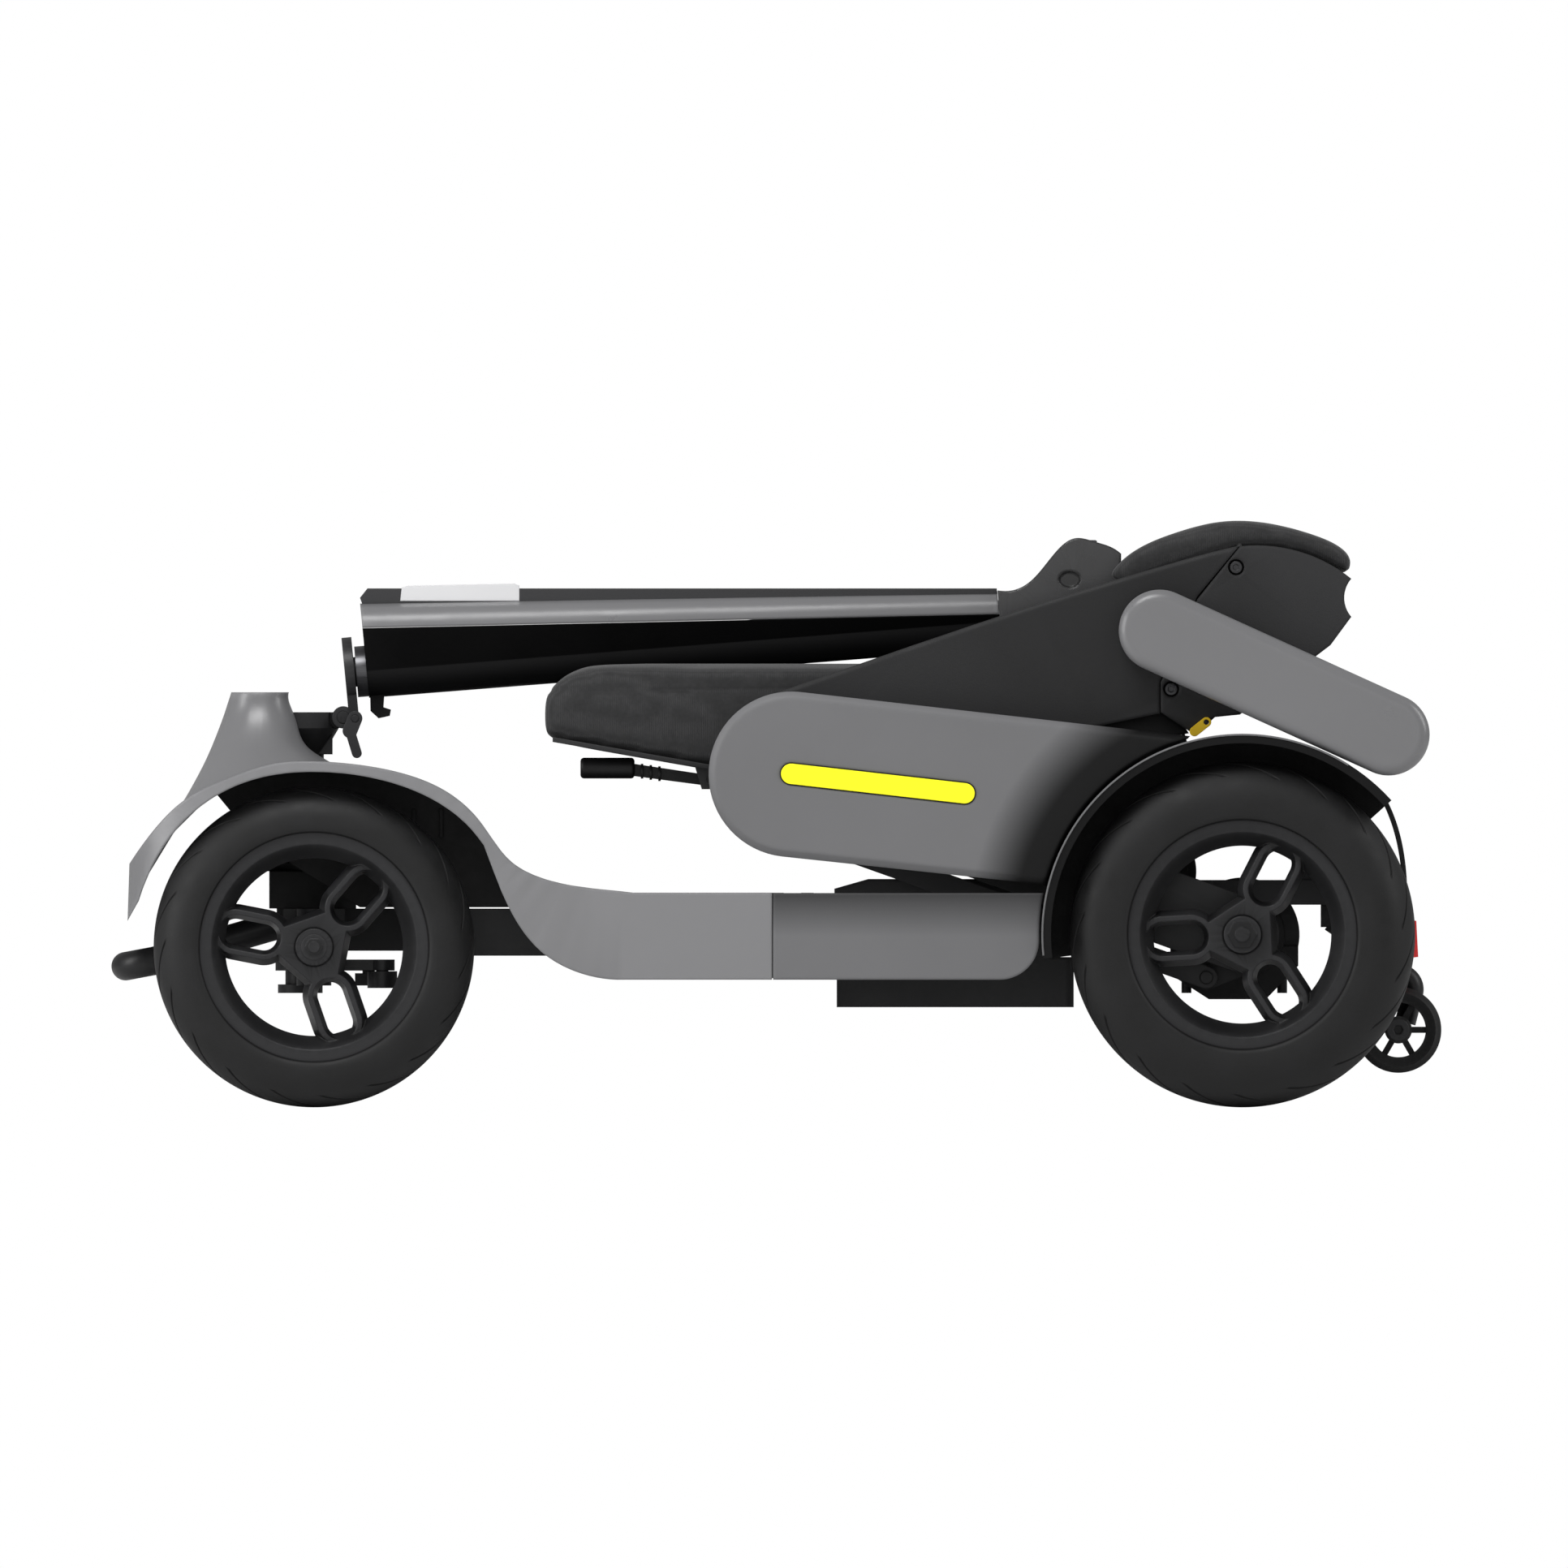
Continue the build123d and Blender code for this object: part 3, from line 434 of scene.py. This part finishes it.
def circle_ring(x, z, r, y, steps=48, sides=0):
    """Circle in a side plane, or a polygon drawn with the same number of points."""
    ring = []
    for k in range(steps):
        t = 2 * pi * k / steps
        rr = r
        if sides:
            half = pi / sides
            rr = r * cos(half) / cos((t + half) % (2 * half) - half)
        ring.append((x + rr * cos(t), y, z + rr * sin(t)))
    return ring


def stadium_ring(xa, za, xb, zb, r, y, steps=20):
    """Outline of a slot with round ends, in a side plane."""
    tilt = atan2(zb - za, xb - xa)
    ring = []
    for cx, cz, start in ((xb, zb, tilt - pi / 2), (xa, za, tilt + pi / 2)):
        for k in range(steps + 1):
            t = start + pi * k / steps
            ring.append((cx + r * cos(t), y, cz + r * sin(t)))
    return ring


# Screws in the wings: x and z, then the y of the wing's face and the head's radius.
WING_SCREWS = (("upper", 0.3699, 0.4346), ("lower", 0.3177, 0.3366))
WING_FACE = 0.2158
HEAD_RADIUS = 0.0058
# Head, outside in: share of the radius, height over the face, sides (0 is round).
HEAD_PROFILE = ((1, -0.0016, 0), (1, 0, 0), (0.82, 0.0010, 0), (0.52, 0.0012, 0),
                (0.46, 0.0011, 6), (0.44, -0.0010, 6))
# Painted edge highlight: radius from the rear axle and y of its section, first angle and sweep.
EDGE_SECTION = ((0.1602, 0.2736), (0.1617, 0.2736), (0.1617, 0.2746), (0.1602, 0.2746))
EDGE_START, EDGE_SWEEP, EDGE_STEPS = 58, 128, 60
# Groove around the stripe: x and z of the stripe's two centres, then radius and y of each ring.
STRIPE = (0.012, 0.2684, 0.1515, 0.2527)
GROOVE = ((0.0082, 0.2640), (0.0082, 0.26625), (0.0092, 0.26625), (0.0096, 0.2640))


def socket_screw(name, x, z, y, r, body, side):
    """Dished button head with a hexagon socket."""
    rings = [circle_ring(x, z, k * r, y + up, sides=n) for k, up, n in HEAD_PROFILE]
    trim(name, rings, False, SCREW, body, side)


def painted_fender_highlight(name, side):
    """Grey strip along the outer rim of the rear wheel arch, a painted highlight on its lit edge.
    """
    rings = []
    for k in range(EDGE_STEPS + 1):
        t = radians(EDGE_START + EDGE_SWEEP * k / EDGE_STEPS)
        rings.append([(REAR[0] + r * cos(t), y, REAR[2] + r * sin(t)) for r, y in EDGE_SECTION])
    # Body grey on the black fender's rim is the painted highlight.
    trim(name, rings, False, LOOKS["body_grey"], "chassis", side)


def stripe_line(name, side):
    """Thin groove around the yellow stripe, near black as painted shade."""
    rings = [stadium_ring(*STRIPE, r, y) for r, y in GROOVE]
    trim(name, rings, True, DARK, "lift", side)


for side, tag in SIDES:
    for level, x, z in WING_SCREWS:
        name = "wing_screw_" + level + "_" + tag
        socket_screw(name, x, z, WING_FACE, HEAD_RADIUS, "back", side)
    stripe_line("stripe_line_" + tag, side)
    painted_fender_highlight("painted_fender_highlight_" + tag, side)


# ---------------------------------------------------------------- soft parts

PUFF_FRAMES = 20
PRESSURE = 4.0
FOOT_DROP = 0.0016      # the underside goes back down onto what it rests on


def evaluated_coords(obj):
    deps = bpy.context.evaluated_depsgraph_get()
    mesh = obj.evaluated_get(deps).data
    co = np.empty(len(mesh.vertices) * 3)
    mesh.vertices.foreach_get("co", co)
    return co.reshape(-1, 3)


def apply_all(obj):
    bpy.context.view_layer.objects.active = obj
    for mod in list(obj.modifiers):
        with bpy.context.temp_override(object=obj):
            bpy.ops.object.modifier_apply(modifier=mod.name)


def soft_copy(node, name, voxel, cap):
    """Remeshes a plain pad, puffs it up with a short pressure run and limits how far it moves."""
    src = frame["nodes"][node]
    obj = bpy.data.objects.new(name, src.data.copy())
    bpy.context.scene.collection.objects.link(obj)
    obj.matrix_world = src.matrix_world.copy()
    remesh = obj.modifiers.new("remesh", "REMESH")
    remesh.mode = "VOXEL"
    remesh.voxel_size = voxel
    apply_all(obj)
    rest = evaluated_coords(obj)
    cloth = obj.modifiers.new("cloth", "CLOTH")
    cloth.settings.use_pressure = True
    cloth.settings.uniform_pressure_force = PRESSURE
    cloth.settings.effector_weights.gravity = 0.0
    cloth.settings.quality = 5
    cloth.point_cache.frame_start = 1
    cloth.point_cache.frame_end = PUFF_FRAMES
    for f in range(1, PUFF_FRAMES + 1):
        bpy.context.scene.frame_set(f)
    puffed = evaluated_coords(obj)
    obj.modifiers.clear()
    bpy.context.scene.frame_set(1)
    move = puffed - rest
    size = np.linalg.norm(move, axis=1, keepdims=True)
    rest = rest + move * np.minimum(1.0, cap / np.maximum(size, 1e-9))
    obj.data.vertices.foreach_set("co", rest.ravel())
    obj.data.update()
    smooth = obj.modifiers.new("smooth", "SMOOTH")
    smooth.factor = 0.5
    smooth.iterations = 7
    sub = obj.modifiers.new("sub", "SUBSURF")
    sub.levels = 1
    sub.render_levels = 1
    apply_all(obj)
    return obj


def press_lines(obj, lines):
    """Sinks stitched channels.

    Each line gives the coordinate's index, its value, the depth, the half width and the
    function that says which points it reaches.
    """
    mesh = obj.data
    co = np.empty(len(mesh.vertices) * 3)
    no = np.empty(len(mesh.vertices) * 3)
    mesh.vertices.foreach_get("co", co)
    mesh.vertex_normals.foreach_get("vector", no)
    co, no = co.reshape(-1, 3), no.reshape(-1, 3)
    sink = np.zeros(len(co))
    for axis, value, depth, half, mask in lines:
        groove = depth * np.exp(-((co[:, axis] - value) / half) ** 2)
        sink = np.maximum(sink, groove * mask(no))
    co = co - no * sink[:, None]
    co[:, 2] -= FOOT_DROP * np.clip(-no[:, 2] * 2.0, 0, 1)
    mesh.vertices.foreach_set("co", co.ravel())
    mesh.update()
    mesh.shade_smooth()


def top_side(no):
    return (no[:, 2] > 0.35).astype(float)


def side_wall(no):
    return (np.abs(no[:, 2]) < 0.7).astype(float)


def finish_soft(obj, node, body):
    paint(obj, LOOKS["pad_fabric"])
    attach(obj, body)
    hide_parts(node)


cushion = soft_copy("seat_cushion", "seat_cushion_visual", 0.0055, 0.003)
press_lines(cushion, [
    (1, -0.118, 0.0030, 0.0032, top_side), (1, 0.118, 0.0030, 0.0032, top_side),
    (2, 0.335, 0.0007, 0.0018, side_wall),
])
finish_soft(cushion, "seat_cushion", "seat")
pad = soft_copy("back_pad", "back_pad_visual", 0.0045, 0.002)
press_lines(pad, [
    (1, -0.120, 0.0026, 0.0030, top_side), (1, 0.120, 0.0026, 0.0030, top_side),
])
finish_soft(pad, "back_pad", "back")


# ---------------------------------------------------------------- stage, light, camera

FLOOR_HALF = 6.0
# Area lights: name, place, target, width, power and height.
LIGHTS = (
    ("key_top", (-0.5, -1.5, 2.3), (0, 0, 0.2), 1.4, 46.0, 0.8),
    ("front_soft", (-2.3, -1.1, 0.9), (-0.3, 0, 0.25), 0.9, 34.0, 1.4),
    ("side_fill", (0.3, -3.2, 0.9), (0.1, 0, 0.2), 2.6, 10.0, 1.4),
    ("rear_rim", (2.2, -0.6, 1.2), (0.3, 0, 0.2), 0.7, 20.0, 1.4),
)
SKY_LIGHT = 0.36        # strength of the white world on the object; the camera sees it at 1
VIEW_WIDTH = 1.2616     # of the side view in the photo
VIEW_FROM = (0.0062, -5.0, 0.2602)


def floor():
    n = Nodes("floor_pale")
    mat = n.surface({
        "Base Color": n.ramp(n.noise(3.0), 0.3, 0.7, grey(0.84), grey(0.86)),
        "Roughness": n.ramp(n.noise(8.0), 0.3, 0.7, grey(0.7), grey(0.8)),
    })
    s = FLOOR_HALF
    corners = [(-s, -s, 0), (s, -s, 0), (s, s, 0), (-s, s, 0)]
    obj = mesh_object("floor", corners, [(0, 1, 2, 3)], mat)


def area(name, place, target, size, power, size_y):
    light = bpy.data.lights.new(name, "AREA")
    light.energy = power
    light.shape = "RECTANGLE"
    light.size = size
    light.size_y = size_y
    obj = bpy.data.objects.new(name, light)
    obj.location = place
    look = Vector(target) - Vector(place)
    obj.rotation_euler = look.to_track_quat("-Z", "Y").to_euler()
    bpy.context.scene.collection.objects.link(obj)
    obj.visible_camera = False


def lights():
    for row in LIGHTS:
        area(*row)
    world = bpy.data.worlds.new("studio")
    world.use_nodes = True
    tree = world.node_tree
    back = tree.nodes["Background"]
    back.inputs["Color"].default_value = (1, 1, 1, 1)
    path = tree.nodes.new("ShaderNodeLightPath")
    level = tree.nodes.new("ShaderNodeMapRange")
    level.inputs["To Min"].default_value = SKY_LIGHT
    level.inputs["To Max"].default_value = 1.0
    tree.links.new(path.outputs["Is Camera Ray"], level.inputs["Value"])
    tree.links.new(level.outputs["Result"], back.inputs["Strength"])
    bpy.context.scene.world = world


def camera():
    cam = bpy.data.cameras.new("camera")
    cam.type = "ORTHO"
    cam.ortho_scale = VIEW_WIDTH
    cam.clip_end = 100
    obj = bpy.data.objects.new("camera", cam)
    obj.location = VIEW_FROM
    obj.rotation_euler = (radians(90), 0, 0)
    bpy.context.scene.collection.objects.link(obj)
    bpy.context.scene.camera = obj


floor()
lights()
camera()
bpy.context.scene.view_settings.view_transform = "Standard"
